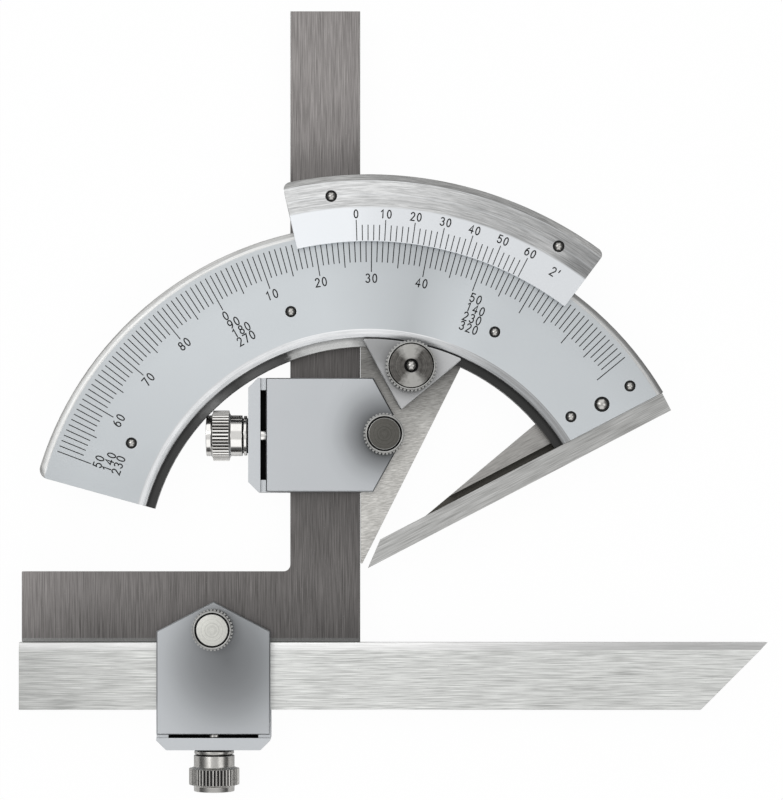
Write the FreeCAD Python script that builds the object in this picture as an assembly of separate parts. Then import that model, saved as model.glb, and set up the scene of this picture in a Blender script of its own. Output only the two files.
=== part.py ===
import FreeCAD, Part
import math
import os

# A universal bevel protractor that lies on its back with the graduated face up.
# Millimetres and degrees. The dial's axis stands on the origin, where the base blade has its tip.
# +Z comes out of the face, +Y runs up the blade of the square and +X along the straight rule.
# The dial and its base blade are drawn with the blade's working edge along +X (u along, v across)
# and turned to the reading at the end. A clamp is drawn with s running from its slot to its apex.

# Reading at rest, and how the layers are stacked from the clamps' backs up
reading = 27.5
clamp_back = 3.55
sector_thickness = 3.4
blade_thickness = 3.0
cover_thickness = 2.0
ring_thickness = 2.0
scale_thickness = 2.0
vernier_thickness = 1.25
brake_thickness = 1.8

# Clearances
blade_gap = 0.15         # a blade over the floor of its clamp
edge_gap = 0.1           # a blade's edge beside its neighbour
dial_gap = 0.05          # dial ring over the sector plate
vernier_gap = 0.15       # vernier over the dial's face
arc_gap = 0.3            # dial against its guide, the brake plate and the spacer
brake_gap = 0.1          # brake plate over the ledge of the dial ring
running_gap = 0.05       # a turning shank in its bore
seat_gap = 0.05          # a screw's end or collar against its seat
cut_over = 1.0           # how far a cut reaches past the metal that it removes

# Dial: scale plate on a ring that stands in as a ledge
dial_outer = 68.2
dial_inner = 45.8
dial_span = 137.0        # from the base's working edge to the left end
dial_corner = 2.0
dial_outer_bevel = 1.55
dial_inner_bevel = 1.4
dial_bevel_depth = 0.7
ledge_width = 1.7
ring_step = 0.2          # the ring's rim inside the scale plate's

# Base blade
base_length = 67.8
base_width = 3.9
base_top = 3.4           # working strip above the ring's underside
tip_length = 4.8
gusset_start = 15.2
gusset_angle = 12.4
gusset_clear = 0.5       # gusset's end inside the dial's rim
tip_clearance = 0.05     # strip's relieved back over the sector plate, beyond the dial's gap
groove_width = 1.3
groove_depth = 1.5
groove_end = 47.0

# Vernier and the sector plate that carries it
vernier_lap = 3.55       # graduated edge of the vernier over the dial
spacer_width = 9.45
vernier_right = 53.1
vernier_left = 102.6
vernier_corner = 1.4
vernier_bevel = 1.25
vernier_bevel_depth = 0.6
sector_left = -1.45
sector_edge_angle = 63.4
sector_edge_offset = 1.39
sector_tip_radius = 0.2
flare_clear = 0.5        # flare of the sector plate outside the dial's rim
flare_lap = 10.0         # how far the flare runs into the wedge, as an angle

# Brake
brake_left_angle = 91.7
brake_right_angle = 65.5
brake_depth = 13.8       # dial's inner rim to the block's apex
brake_apex_angle = 78.3
brake_corner = 0.35
guide_inset = 1.2
nut_inset = 5.1          # dial's inner rim to the nut's axis
nut_angle = 78.1
nut_radius = 5.1
nut_height = 4.1
nut_teeth = 36
nut_rim = 1.2
nut_dish = 0.8
stud_radius = 1.6
stud_tip_radius = 1.27
stud_tip_length = 1.2
washer_radius = 3.6
washer_thickness = 0.5

# Square and straight rule
square_width = 14.0
square_top = 111.4
arm_width = 14.12
arm_top = -0.72
arm_left = -69.3
arm_bevel = 0.8
arm_bevel_depth = 0.3
square_fillet = 1.4
rule_length = 150.0
rule_width = 13.5
rule_right = 80.1
rule_bevel = 1.5
rule_bevel_depth = 0.4

# Clamps: the one on the square's blade is a, the one on the straight rule is b
clamp_width = 22.7
clamp_a_y = 26.5
clamp_b_x = -30.85
clamp_a_shoulder = 21.4
clamp_b_shoulder = 20.6
clamp_a_apex = 27.7
clamp_b_apex = 26.5
knob_a_seat = 23.5
knob_b_seat = 21.0
blade_inset = 4.8        # slot edge to the blade's edge
clamp_a_slot = 1.1
clamp_b_slot = 0.65
slot_post = 2.4
post_drop = 0.7
end_bar = 2.44
bar_chamfer = 1.95
web_depth = 2.4
cover_edge = 0.25
pad_length = 1.4
pad_width = 9.0

# Thumb screws and lock knobs
shank_radius = 1.4
neck_radius = 3.75
neck_length = 3.5
grip_radius = 5.05
grip_length = 3.9
grip_teeth = 28
boss_radius = 3.9
boss_length = 1.0
tooth_depth = 0.35
knob_radius = 4.15
knob_height = 4.9
knob_teeth = 30
knob_rim = 0.5
knob_recess = 0.5
knob_shank = 1.5
knob_thread = 2.5        # how far the knob's screw enters the clamp's back
knob_gap = 0.15

# Domed pins
pin_radius = 1.1
vernier_pin_radius = 1.15
rivet_radius = 1.5
pin_dome = 0.35
pin_crown = 0.6          # flat of the head as a share of the pin's radius
dial_pin_inset = 7.3     # dial's inner rim to the pins
dial_pin_angles = (124.7, 79.3, 34.3)       # from the base's working edge
vernier_pin_inset = 4.05 # vernier's outer rim to its pins
vernier_pin_angles = (95.7, 59.4)
rivet_inset = 11.7       # base blade's outer end to the rivet
rivet_v = 7.4
base_pin_spacing = 13.2
base_pin_v = 8.05

# Levels and places that follow from the sizes above
sector_floor = clamp_back
sector_face = sector_floor + sector_thickness
blade_floor = clamp_back + blade_gap
cover_face = sector_face + cover_thickness
ring_floor = sector_face + dial_gap
ring_face = ring_floor + ring_thickness
scale_face = ring_face + scale_thickness
vernier_floor = scale_face + vernier_gap
vernier_face = vernier_floor + vernier_thickness
brake_floor = ring_face + brake_gap
brake_face = brake_floor + brake_thickness
nut_floor = brake_face + washer_thickness + seat_gap
ledge_inner = dial_inner - ledge_width
guide_outer = ledge_inner - arc_gap
brake_outer = dial_inner - arc_gap
spacer_inner = dial_outer + arc_gap
vernier_inner = dial_outer - vernier_lap
vernier_outer = spacer_inner + spacer_width
vernier_pin_circle = vernier_outer - vernier_pin_inset
rivet_u = base_length - rivet_inset
dial_pin_circle = dial_inner + dial_pin_inset
brake_apex_radius = dial_inner - brake_depth
screw_axis = clamp_back + sector_thickness / 2
square_right = sector_left - edge_gap
square_left = square_right - square_width
arm_bottom = arm_top - arm_width
rule_edge = arm_bottom - edge_gap
quarter_turn = 90
up = FreeCAD.Vector(0, 0, 1)
origin = FreeCAD.Vector(0, 0, 0)


def polar(radius, angle):
    turn = math.radians(angle)
    return radius * math.cos(turn), radius * math.sin(turn)


nut_place = polar(dial_inner - nut_inset, nut_angle)


def moved(shape, x, y, z=0.0):
    copy = shape.copy()
    copy.translate(FreeCAD.Vector(x, y, z))
    return copy


def turned(shape, angle):
    copy = shape.copy()
    copy.rotate(origin, up, angle)
    return copy


def fused(shapes):
    whole = shapes[0].multiFuse(shapes[1:])
    return whole.removeSplitter()


def flat_face(points, level=0.0):
    corners = [FreeCAD.Vector(x, y, level) for x, y in points]
    return Part.Face(Part.makePolygon(corners + corners[:1]))


def prism(points, low, high):
    return flat_face(points, low).extrude(FreeCAD.Vector(0, 0, high - low))


def cylinder(radius, low, high, place=(0.0, 0.0)):
    base = FreeCAD.Vector(place[0], place[1], low)
    return Part.makeCylinder(radius, high - low, base, up)


def cone(low_radius, high_radius, low, high, place=(0.0, 0.0)):
    base = FreeCAD.Vector(place[0], place[1], low)
    return Part.makeCone(low_radius, high_radius, high - low, base, up)


def spun(profile):
    """A full turn about the Z axis of an outline given as (radius, height) points."""
    corners = [FreeCAD.Vector(radius, 0, height) for radius, height in profile]
    return Part.Face(Part.makePolygon(corners + corners[:1])).revolve(origin, up, 360)


def arc_band(inner, outer, start, end, low, high, corner=0.0):
    """A flat arc between two radii and two angles; its two outer corners may be rounded."""
    def point(radius, angle):
        x, y = polar(radius, angle)
        return FreeCAD.Vector(x, y, low)

    middle = (start + end) / 2
    edges = [Part.Arc(point(inner, start), point(inner, middle), point(inner, end)).toShape()]
    if corner > 0:
        shift = math.degrees(math.asin(corner / (outer - corner)))
        foot = math.sqrt((outer - corner) ** 2 - corner ** 2)
        half = (quarter_turn + shift) / 2
        for side, limit in ((1, end), (-1, start)):
            hub = point(outer - corner, limit - side * shift)
            lean = limit - side * shift + side * half
            bend = hub + FreeCAD.Vector(*polar(corner, lean), 0)
            arc = Part.Arc(point(foot, limit), bend, point(outer, limit - side * shift)).toShape()
            edges.append(arc)
            edges.append(Part.makeLine(point(inner, limit), point(foot, limit)))
        rim_start, rim_end = start + shift, end - shift
    else:
        rim_start, rim_end = start, end
        edges.append(Part.makeLine(point(inner, start), point(outer, start)))
        edges.append(Part.makeLine(point(inner, end), point(outer, end)))
    edges.append(Part.Arc(point(outer, rim_start), point(outer, middle), point(outer, rim_end)).toShape())
    outline = Part.Wire(Part.__sortEdges__(edges))
    return Part.Face(outline).extrude(FreeCAD.Vector(0, 0, high - low))


def rim_bevel(rim, width, depth, face, inward=False):
    """The ring of metal that a bevel takes off a round edge."""
    side = -1 if inward else 1
    slope = depth / width
    return spun([
        (rim - side * width, face),
        (rim + side * cut_over, face - depth - slope * cut_over),
        (rim + side * cut_over, face + cut_over),
        (rim - side * width, face + cut_over),
    ])


def upright_edges(shape, places, reach=0.6):
    """Edges parallel to Z that stand near the given places."""
    found = []
    for edge in shape.Edges:
        start, end = edge.Vertexes[0].Point, edge.Vertexes[-1].Point
        run = end - start
        if run.Length < 0.1 or abs(run.z) < run.Length * 0.999:
            continue
        for x, y in places:
            if math.hypot(start.x - x, start.y - y) < reach:
                found.append(edge)
                break
    return found


def knurled_bar(radius, teeth, low, high):
    """A straight-knurled cylinder: one flat-sided tooth after another round the rim."""
    points = []
    for step in range(teeth):
        pitch = 360.0 / teeth
        points.append(polar(radius, step * pitch))
        points.append(polar(radius - tooth_depth, (step + 0.5) * pitch))
    return prism(points, low, high)


def domed_pin(radius, low, high, place):
    """A pin whose head stands proud of its plate as a blunt cone."""
    head = cone(radius, pin_crown * radius, high, high + pin_dome, place)
    return cylinder(radius, low, high, place).fuse(head).removeSplitter()


def edge_bevel(start, end, edge, side, width, depth, face):
    """The metal that a bevel takes off a straight edge along X; side is +1 for an upper edge."""
    foot = face - depth * (1 + cut_over / width)
    section = [(edge - side * width, face), (edge + side * cut_over, foot),
               (edge + side * cut_over, face + cut_over), (edge - side * width, face + cut_over)]
    corners = [FreeCAD.Vector(start - cut_over, y, z) for y, z in section]
    waste = Part.Face(Part.makePolygon(corners + corners[:1]))
    return waste.extrude(FreeCAD.Vector(end - start + 2 * cut_over, 0, 0))


def drilled(shape, pins):
    return shape.cut(Part.makeCompound(pins))


# Dial and base blade, drawn with the working edge along +X


def dial_pin_set():
    places = [polar(dial_pin_circle, angle) for angle in dial_pin_angles]
    return [domed_pin(pin_radius, ring_floor, scale_face, place) for place in places]


def base_pin_set():
    places = [(rivet_u + side * base_pin_spacing / 2, base_pin_v) for side in (1, -1)]
    return [domed_pin(pin_radius, blade_floor, scale_face, place) for place in places]


def base_rivet_pin():
    return domed_pin(rivet_radius, blade_floor, scale_face, (rivet_u, rivet_v))


def below_strip(shape):
    """Ends an arc of the dial flush against the upper side of the base's working strip."""
    waste = Part.makeBox(3 * base_length, 3 * base_width, vernier_face,
                         FreeCAD.Vector(0, -2 * base_width, 0))
    return shape.cut(waste)


def dial_plate():
    plate = arc_band(dial_inner, dial_outer, 0.0, dial_span, ring_face, scale_face, dial_corner)
    plate = plate.cut(rim_bevel(dial_outer, dial_outer_bevel, dial_bevel_depth, scale_face))
    plate = plate.cut(rim_bevel(dial_inner, dial_inner_bevel, dial_bevel_depth, scale_face, True))
    return drilled(below_strip(plate), dial_pin_set() + base_pin_set() + [base_rivet_pin()])


def dial_ring():
    rim = dial_outer - ring_step
    ring = arc_band(ledge_inner, rim, 0.0, dial_span, ring_floor, ring_face, dial_corner)
    return drilled(below_strip(ring), dial_pin_set() + base_pin_set() + [base_rivet_pin()])


def base_blade():
    strip_top = ring_floor + base_top
    strip = prism([(0, 0), (base_length, 0), (base_length, base_width), (tip_length, base_width)],
                  blade_floor, strip_top)
    reach = 1.5 * base_length
    rise = (reach - gusset_start) * math.tan(math.radians(gusset_angle))
    gusset = prism([(gusset_start, 0), (reach, 0), (reach, base_width + rise),
                    (gusset_start, base_width)], blade_floor, ring_floor)
    gusset = gusset.common(cylinder(dial_outer - gusset_clear, blade_floor, ring_floor))
    end_trim = Part.makeBox(base_length, base_width + edge_gap, strip_top,
                            FreeCAD.Vector(base_length, -edge_gap, 0))
    groove = prism([(0, base_width), (groove_end, base_width),
                    (groove_end, base_width + groove_width), (0, base_width + groove_width)],
                   ring_floor - groove_depth, ring_floor + cut_over)
    relief = prism([(-cut_over, -cut_over), (gusset_start, -cut_over),
                    (gusset_start, base_width + cut_over), (-cut_over, base_width + cut_over)],
                   0, ring_floor + tip_clearance)
    blade = fused([strip, gusset.cut(end_trim)])
    blade = blade.cut(groove).cut(relief)
    return drilled(blade, base_pin_set() + [base_rivet_pin()])


# Sector plate, vernier and brake, drawn in place


def sector_edge_point(radius):
    """A point of the sector plate's right edge at a distance along the edge."""
    along = polar(radius, sector_edge_angle)
    side = polar(sector_edge_offset, sector_edge_angle + quarter_turn)
    return along[0] + side[0], along[1] + side[1]


def vernier_pin_set():
    beyond_sector = max(vernier_pin_angles)
    pins = []
    for angle in vernier_pin_angles:
        low = sector_face if angle == beyond_sector else sector_floor
        pins.append(domed_pin(vernier_pin_radius, low, vernier_face, polar(vernier_pin_circle, angle)))
    return pins


def brake_outline(low, high, outer, inset=0.0):
    """The brake's three-cornered block, with its top edge concentric with the dial."""
    far = 1.2 * dial_inner
    apex = polar(brake_apex_radius, brake_apex_angle)
    left = polar(dial_inner, brake_left_angle)
    right = polar(dial_inner, brake_right_angle)
    stretch = far / brake_apex_radius
    sides = [(apex[0] + (corner[0] - apex[0]) * stretch, apex[1] + (corner[1] - apex[1]) * stretch)
             for corner in (right, left)]
    outline = flat_face([apex] + sides, low)
    if inset > 0:
        outline = Part.Face(outline.OuterWire.makeOffset2D(-inset))
    block = outline.extrude(FreeCAD.Vector(0, 0, high - low))
    block = block.common(cylinder(outer, low, high))
    if inset == 0:
        corners = [edge for edge in block.Edges
                   if abs(edge.Vertexes[0].Z - edge.Vertexes[-1].Z) > 0.1]
        block = block.makeFillet(brake_corner, corners)
    return block


def stud_shape():
    shank_top = nut_floor + nut_height - nut_dish
    shank = cylinder(stud_radius, sector_floor, shank_top, nut_place)
    tip = cone(stud_tip_radius, pin_crown * stud_tip_radius, shank_top, shank_top + stud_tip_length,
               nut_place)
    return shank.fuse(tip).removeSplitter()


def stud_hole(low, high):
    return cylinder(stud_radius + running_gap, low, high, nut_place)


def sector_plate():
    corner = 1.5 * vernier_outer
    tip_y = (sector_edge_offset + sector_left * math.sin(math.radians(sector_edge_angle)))
    tip_y = tip_y / math.cos(math.radians(sector_edge_angle))
    wedge = prism([(sector_left, tip_y), sector_edge_point(corner), (sector_left, corner)],
                  sector_floor, sector_face)
    tip = upright_edges(wedge, [(sector_left, tip_y)])
    wedge = wedge.makeFillet(sector_tip_radius, tip)
    wedge = wedge.common(cylinder(vernier_outer, sector_floor, sector_face))
    flare = arc_band(dial_outer + flare_clear, vernier_outer, vernier_right,
                     sector_edge_angle + flare_lap, sector_floor, sector_face, vernier_corner)
    plate = fused([wedge, flare])
    knob_place = (square_left - blade_inset + knob_a_seat, clamp_a_y)
    holes = vernier_pin_set() + [stud_shape()]
    holes.append(cylinder(knob_shank + running_gap, sector_floor, sector_face, knob_place))
    return drilled(plate, holes)


def vernier_spacer():
    spacer = arc_band(spacer_inner, vernier_outer, vernier_right, vernier_left,
                      sector_face, vernier_floor, vernier_corner)
    return drilled(spacer, vernier_pin_set())


def vernier_plate():
    plate = arc_band(vernier_inner, vernier_outer, vernier_right, vernier_left,
                     vernier_floor, vernier_face, vernier_corner)
    plate = plate.cut(rim_bevel(vernier_outer, vernier_bevel, vernier_bevel_depth, vernier_face))
    return drilled(plate, vernier_pin_set())


def sector_guide():
    return brake_outline(sector_face, ring_face, guide_outer, guide_inset).cut(
        stud_hole(sector_face, ring_face))


def brake_plate():
    plate = brake_outline(brake_floor, brake_face, brake_outer)
    return plate.cut(stud_hole(brake_floor, brake_face))


def brake_washer():
    top = brake_face + washer_thickness
    return cylinder(washer_radius, brake_face, top, nut_place).cut(stud_hole(brake_face, top))


def brake_nut():
    lip = nut_radius - nut_rim
    dish_floor = nut_height - nut_dish
    bore = stud_radius + running_gap
    beyond = nut_height + cut_over
    hollow = spun([(0, -cut_over), (bore, -cut_over), (bore, dish_floor), (lip, nut_height),
                   (lip, beyond), (0, beyond)])
    nut = knurled_bar(nut_radius, nut_teeth, 0, nut_height).cut(hollow)
    return moved(nut, *nut_place, nut_floor)


# Square and straight rule, drawn in place


def square_blade():
    outline = [(square_left, square_top), (square_left, arm_top), (arm_left, arm_top),
               (arm_left, arm_bottom), (square_right, arm_bottom), (square_right, square_top)]
    top = blade_floor + blade_thickness
    blade = prism(outline, blade_floor, top)
    blade = blade.makeFillet(square_fillet, upright_edges(blade, [(square_left, arm_top)]))
    return blade.cut(edge_bevel(arm_left, square_right, arm_bottom, -1, arm_bevel,
                                arm_bevel_depth, top))


def straight_rule():
    top = blade_floor + blade_thickness
    rule_left = rule_right - rule_length
    rule = prism([(rule_left, rule_edge), (rule_left, rule_edge - rule_width),
                  (rule_right - rule_width, rule_edge - rule_width), (rule_right, rule_edge)],
                 blade_floor, top)
    return rule.cut(edge_bevel(rule_left, rule_right, rule_edge, 1, rule_bevel,
                               rule_bevel_depth, top))


# One clamp, drawn with s along +X from the slot's edge and t along +Y


def clamp_outline(shoulder, apex, start):
    half = clamp_width / 2
    return [(start, half), (start, -half), (shoulder, -half), (apex, 0), (shoulder, half)]


def clamp_body(shoulder, apex, knob_seat, slot, threaded):
    half = clamp_width / 2
    back_end = -slot - end_bar
    back = prism(clamp_outline(shoulder, apex, -slot), 0, clamp_back)
    bar = prism([(back_end, half - bar_chamfer), (back_end, bar_chamfer - half),
                 (back_end + bar_chamfer, -half), (-slot, -half), (-slot, half),
                 (back_end + bar_chamfer, half)], 0, cover_face)
    web = prism([(0, -half), (web_depth, -half), (web_depth, half), (0, half)], 0, sector_face)
    posts = [prism([(-slot, side * half), (-slot, side * (half - slot_post)),
                    (0, side * (half - slot_post)), (0, side * half)], 0, cover_face - post_drop)
             for side in (-1, 1)]
    body = fused([back, bar, web] + posts)
    bore = Part.makeCylinder(shank_radius + running_gap, web_depth - back_end,
                             FreeCAD.Vector(back_end, 0, screw_axis), FreeCAD.Vector(1, 0, 0))
    body = body.cut(bore)
    if threaded:
        knob_hole = cylinder(knob_shank + running_gap, clamp_back - knob_thread - seat_gap,
                             clamp_back, (knob_seat, 0))
        body = body.cut(knob_hole)
    return body


def clamp_cover(shoulder, apex, knob_seat):
    cover = prism(clamp_outline(shoulder, apex, 0), sector_face, cover_face)
    top = [edge for edge in cover.Edges
           if min(vertex.Z for vertex in edge.Vertexes) > cover_face - 0.01]
    cover = cover.makeChamfer(cover_edge, top)
    return cover.cut(cylinder(knob_shank + running_gap, sector_face, cover_face, (knob_seat, 0)))


def pressure_pad():
    low = blade_floor
    high = blade_floor + blade_thickness
    back = blade_inset - seat_gap - pad_length
    return Part.makeBox(pad_length, pad_width, high - low, FreeCAD.Vector(back, -pad_width / 2, low))


def thumb_screw(slot):
    """Built along +Z from the shank's tip and then laid down along -s."""
    tip = blade_inset - 2 * seat_gap - pad_length
    seat = tip + slot + end_bar + seat_gap
    grip = seat + neck_length
    boss = grip + grip_length
    end = boss + boss_length
    core = spun([
        (0, 0), (shank_radius, 0), (shank_radius, seat), (neck_radius, seat), (neck_radius, grip),
        (boss_radius, grip), (boss_radius, end), (0, end),
    ])
    screw = fused([core, knurled_bar(grip_radius, grip_teeth, grip, boss)])
    screw.rotate(origin, FreeCAD.Vector(0, 1, 0), -quarter_turn)
    return moved(screw, tip, 0, screw_axis)


def lock_knob(knob_seat, tip_level):
    floor = cover_face + knob_gap
    top = floor + knob_height
    face_radius = knob_radius - tooth_depth - knob_rim
    head = knurled_bar(knob_radius, knob_teeth, floor, top)
    head = head.cut(cylinder(face_radius, top - knob_recess, top + cut_over))
    shank = cylinder(knob_shank, tip_level, floor)
    return moved(head.fuse(shank).removeSplitter(), knob_seat, 0)


def place_a(shape):
    return moved(shape, square_left - blade_inset, clamp_a_y)


def place_b(shape):
    return moved(turned(shape, quarter_turn), clamp_b_x, rule_edge - rule_width - blade_inset)


def clamp_parts(letter, place, shoulder, apex, knob_seat, slot, threaded):
    blade_face = blade_floor + blade_thickness
    tip_level = clamp_back - knob_thread if threaded else blade_face + seat_gap
    return {
        f"clamp_{letter}_body": place(clamp_body(shoulder, apex, knob_seat, slot, threaded)),
        f"clamp_{letter}_cover": place(clamp_cover(shoulder, apex, knob_seat)),
        f"pressure_pad_{letter}": place(pressure_pad()),
        f"thumb_screw_{letter}": place(thumb_screw(slot)),
        f"lock_knob_{letter}": place(lock_knob(knob_seat, tip_level)),
    }


def all_parts():
    parts = {
        "dial_plate": turned(dial_plate(), reading),
        "dial_ring": turned(dial_ring(), reading),
        "dial_pins": turned(Part.makeCompound(dial_pin_set()), reading),
        "base_blade": turned(base_blade(), reading),
        "base_pins": turned(Part.makeCompound(base_pin_set()), reading),
        "base_rivet": turned(base_rivet_pin(), reading),
        "sector_plate": sector_plate(),
        "sector_guide": sector_guide(),
        "vernier_spacer": vernier_spacer(),
        "vernier_plate": vernier_plate(),
        "vernier_pins": Part.makeCompound(vernier_pin_set()),
        "brake_plate": brake_plate(),
        "brake_stud": stud_shape(),
        "brake_washer": brake_washer(),
        "brake_nut": brake_nut(),
        "square": square_blade(),
        "rule": straight_rule(),
    }
    parts.update(clamp_parts("a", place_a, clamp_a_shoulder, clamp_a_apex, knob_a_seat,
                             clamp_a_slot, True))
    parts.update(clamp_parts("b", place_b, clamp_b_shoulder, clamp_b_apex, knob_b_seat,
                             clamp_b_slot, False))
    return parts


os.makedirs("parts", exist_ok=True)
for name, shape in all_parts().items():
    shape.exportStep(f"parts/{name}.step")
    box = shape.BoundBox
    print(f"{name}: {len(shape.Solids)} solids, valid {shape.isValid()}, "
          f"volume {shape.Volume:.1f}, z {box.ZMin:.2f} to {box.ZMax:.2f}")
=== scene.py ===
import math

import bmesh
import bpy
from mathutils import Matrix, Vector


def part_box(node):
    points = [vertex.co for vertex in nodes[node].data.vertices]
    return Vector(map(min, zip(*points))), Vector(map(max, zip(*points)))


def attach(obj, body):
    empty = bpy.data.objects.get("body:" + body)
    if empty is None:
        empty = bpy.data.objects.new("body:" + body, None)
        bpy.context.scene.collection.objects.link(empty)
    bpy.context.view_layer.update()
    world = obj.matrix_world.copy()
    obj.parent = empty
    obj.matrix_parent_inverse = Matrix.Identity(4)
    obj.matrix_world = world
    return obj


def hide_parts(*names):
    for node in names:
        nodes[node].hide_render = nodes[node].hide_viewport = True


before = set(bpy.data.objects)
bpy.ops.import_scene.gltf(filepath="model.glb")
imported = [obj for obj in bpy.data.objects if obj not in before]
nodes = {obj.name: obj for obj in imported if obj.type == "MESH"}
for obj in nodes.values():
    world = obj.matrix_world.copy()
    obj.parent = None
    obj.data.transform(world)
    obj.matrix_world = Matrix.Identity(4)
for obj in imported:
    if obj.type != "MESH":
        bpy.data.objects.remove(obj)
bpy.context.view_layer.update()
mm = 0.001
print("frame loaded,", len(nodes), "nodes")


# Node trees: plain arithmetic on sockets, and one method that adds any other node

class Wire:
    def __init__(self, graph, socket):
        self.graph = graph
        self.socket = socket

    def __add__(self, other):
        return self.graph.maths("ADD", self, other)

    def __sub__(self, other):
        return self.graph.maths("SUBTRACT", self, other)

    def __rsub__(self, other):
        return self.graph.maths("SUBTRACT", other, self)

    def __mul__(self, other):
        return self.graph.maths("MULTIPLY", self, other)

    def __truediv__(self, other):
        return self.graph.maths("DIVIDE", self, other)

    def __pow__(self, other):
        return self.graph.maths("POWER", self, other)

    def __abs__(self):
        return self.graph.maths("ABSOLUTE", self)

    __radd__, __rmul__ = __add__, __mul__


class Graph:
    def __init__(self, tree):
        self.tree = tree

    def add(self, kind, settings=None, inputs=None, output=0):
        node = self.tree.nodes.new(kind)
        for key, value in (settings or {}).items():
            if key == "stops":
                self.setStops(node.color_ramp, value)
            else:
                setattr(node, key, value)
        for key, value in (inputs or {}).items():
            if isinstance(value, Wire):
                self.tree.links.new(value.socket, node.inputs[key])
            else:
                node.inputs[key].default_value = value
        return Wire(self, node.outputs[output]) if len(node.outputs) else None

    def setStops(self, ramp, stops):
        while len(ramp.elements) < len(stops):
            ramp.elements.new(0.5)
        for element, (place, level) in zip(ramp.elements, stops):
            element.position = place
            element.color = (level, level, level, 1)

    def maths(self, operation, *values):
        return self.add("ShaderNodeMath", {"operation": operation}, dict(enumerate(values)))

    def length(self, vector):
        return self.add("ShaderNodeVectorMath", {"operation": "LENGTH"}, {0: vector}, 1)

    def ramp(self, value, stops):
        return self.add("ShaderNodeValToRGB", {"stops": stops}, {0: value})

    def rise(self, value, low, high):
        # 0 up to low, 1 from high on
        return self.ramp(value, [(0.0, 0.0), (low, 0.0), (high, 1.0), (1.0, 1.0)])

    def between(self, value, low, high, soft):
        # 1 inside the span, fading over a soft edge
        rise = self.add("ShaderNodeMapRange", {}, {0: value, 1: low - soft, 2: low + soft})
        fall = self.add("ShaderNodeMapRange", {}, {0: value, 1: high - soft, 2: high + soft})
        return rise * (1.0 - fall)

    def blend(self, share, first, second, way="MIX"):
        # colours written as three numbers get their alpha here
        first, second = (tone if isinstance(tone, Wire) else (*tone, 1) for tone in (first, second))
        return self.add("ShaderNodeMix", {"data_type": "RGBA", "blend_type": way},
                        {0: share, 6: first, 7: second}, 2)

    def toned(self, colour, value, stops):
        # the colour scaled along a value; stops are (value, level)
        low, high = stops[0][0], stops[-1][0]
        along = self.add("ShaderNodeMapRange", {}, {0: value, 1: low, 2: high})
        level = self.ramp(along, [((place - low) / (high - low), tone) for place, tone in stops])
        return self.blend(1.0, colour, level, "MULTIPLY")

    def tonedAlong(self, colour, tones):
        # painted reflections and shade: levels along X or Y in millimetres
        x, y, z = self.parts(self.add("ShaderNodeTexCoord", output="Object"))
        for axis, stops in tones:
            colour = self.toned(colour, {"x": x, "y": y}[axis] / mm, stops)
        return colour

    def parts(self, vector):
        node = self.add("ShaderNodeSeparateXYZ", {}, {0: vector}).socket.node
        return [Wire(self, node.outputs[axis]) for axis in range(3)]

    def objectPlace(self, sizes, turn=0.0, centre=(0, 0, 0)):
        # object coordinates about a centre, counted in given sizes; a size of 0 flattens an axis
        place = self.add("ShaderNodeTexCoord", output="Object")
        moved = self.add("ShaderNodeVectorMath", {"operation": "SUBTRACT"}, {
            0: place, 1: [value * mm for value in centre]})
        turned = self.add("ShaderNodeMapping", {}, {"Vector": moved, "Rotation": (0, 0, -turn)})
        scale = [1 / (size * mm) if size else 0.0 for size in sizes]
        return self.add("ShaderNodeMapping", {}, {"Vector": turned, "Scale": scale})

    def dialPolar(self, length, width):
        # grain that runs round the dial's axis; also gives the radius in millimetres and the angle
        x, y, z = self.parts(self.add("ShaderNodeTexCoord", output="Object"))
        angle = self.maths("ARCTAN2", y, x)
        radius = (x ** 2 + y ** 2) ** 0.5
        grainRadius = 60.0  # where the grain has its given length
        place = self.add("ShaderNodeCombineXYZ", {}, {
            0: angle * (grainRadius / length), 1: radius / (width * mm), 2: z / (width * mm)})
        return place, radius / mm, angle * (180 / math.pi)

    def noise(self, place, detail=3.0, roughness=0.55, scale=1.0):
        return self.add("ShaderNodeTexNoise", {}, {
            "Vector": place, "Scale": scale, "Detail": detail, "Roughness": roughness})

    def flecks(self, size, detail=2.0, roughness=0.5):
        # noise that is alike in all directions
        return self.noise(self.objectPlace((size, size, size)), detail, roughness)


def newFinish(name):
    material = bpy.data.materials.new(name)
    material.use_nodes = True
    material.node_tree.nodes.clear()
    return material, Graph(material.node_tree)


def makeFinish(name, surface, look, *place):
    # a surface draws colour, roughness and height; the look says the rest
    material, graph = newFinish(name)
    colour, roughness, height = surface(graph, look, *place)
    inputs = {"Base Color": colour, "Roughness": roughness, "Metallic": look["metallic"]}
    if "specular" in look:
        inputs["Specular IOR Level"] = look["specular"]
    if "bump" in look:
        inputs["Normal"] = graph.add("ShaderNodeBump", {}, {
            "Height": height, "Strength": 1.0, "Distance": look["bump"] * mm})
    shader = graph.add("ShaderNodeBsdfPrincipled", {}, inputs)
    graph.add("ShaderNodeOutputMaterial", {}, {"Surface": shader})
    return material


# Finishes: sizes in millimetres, colours linear, angles in degrees except scuffTurn in radians

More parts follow.
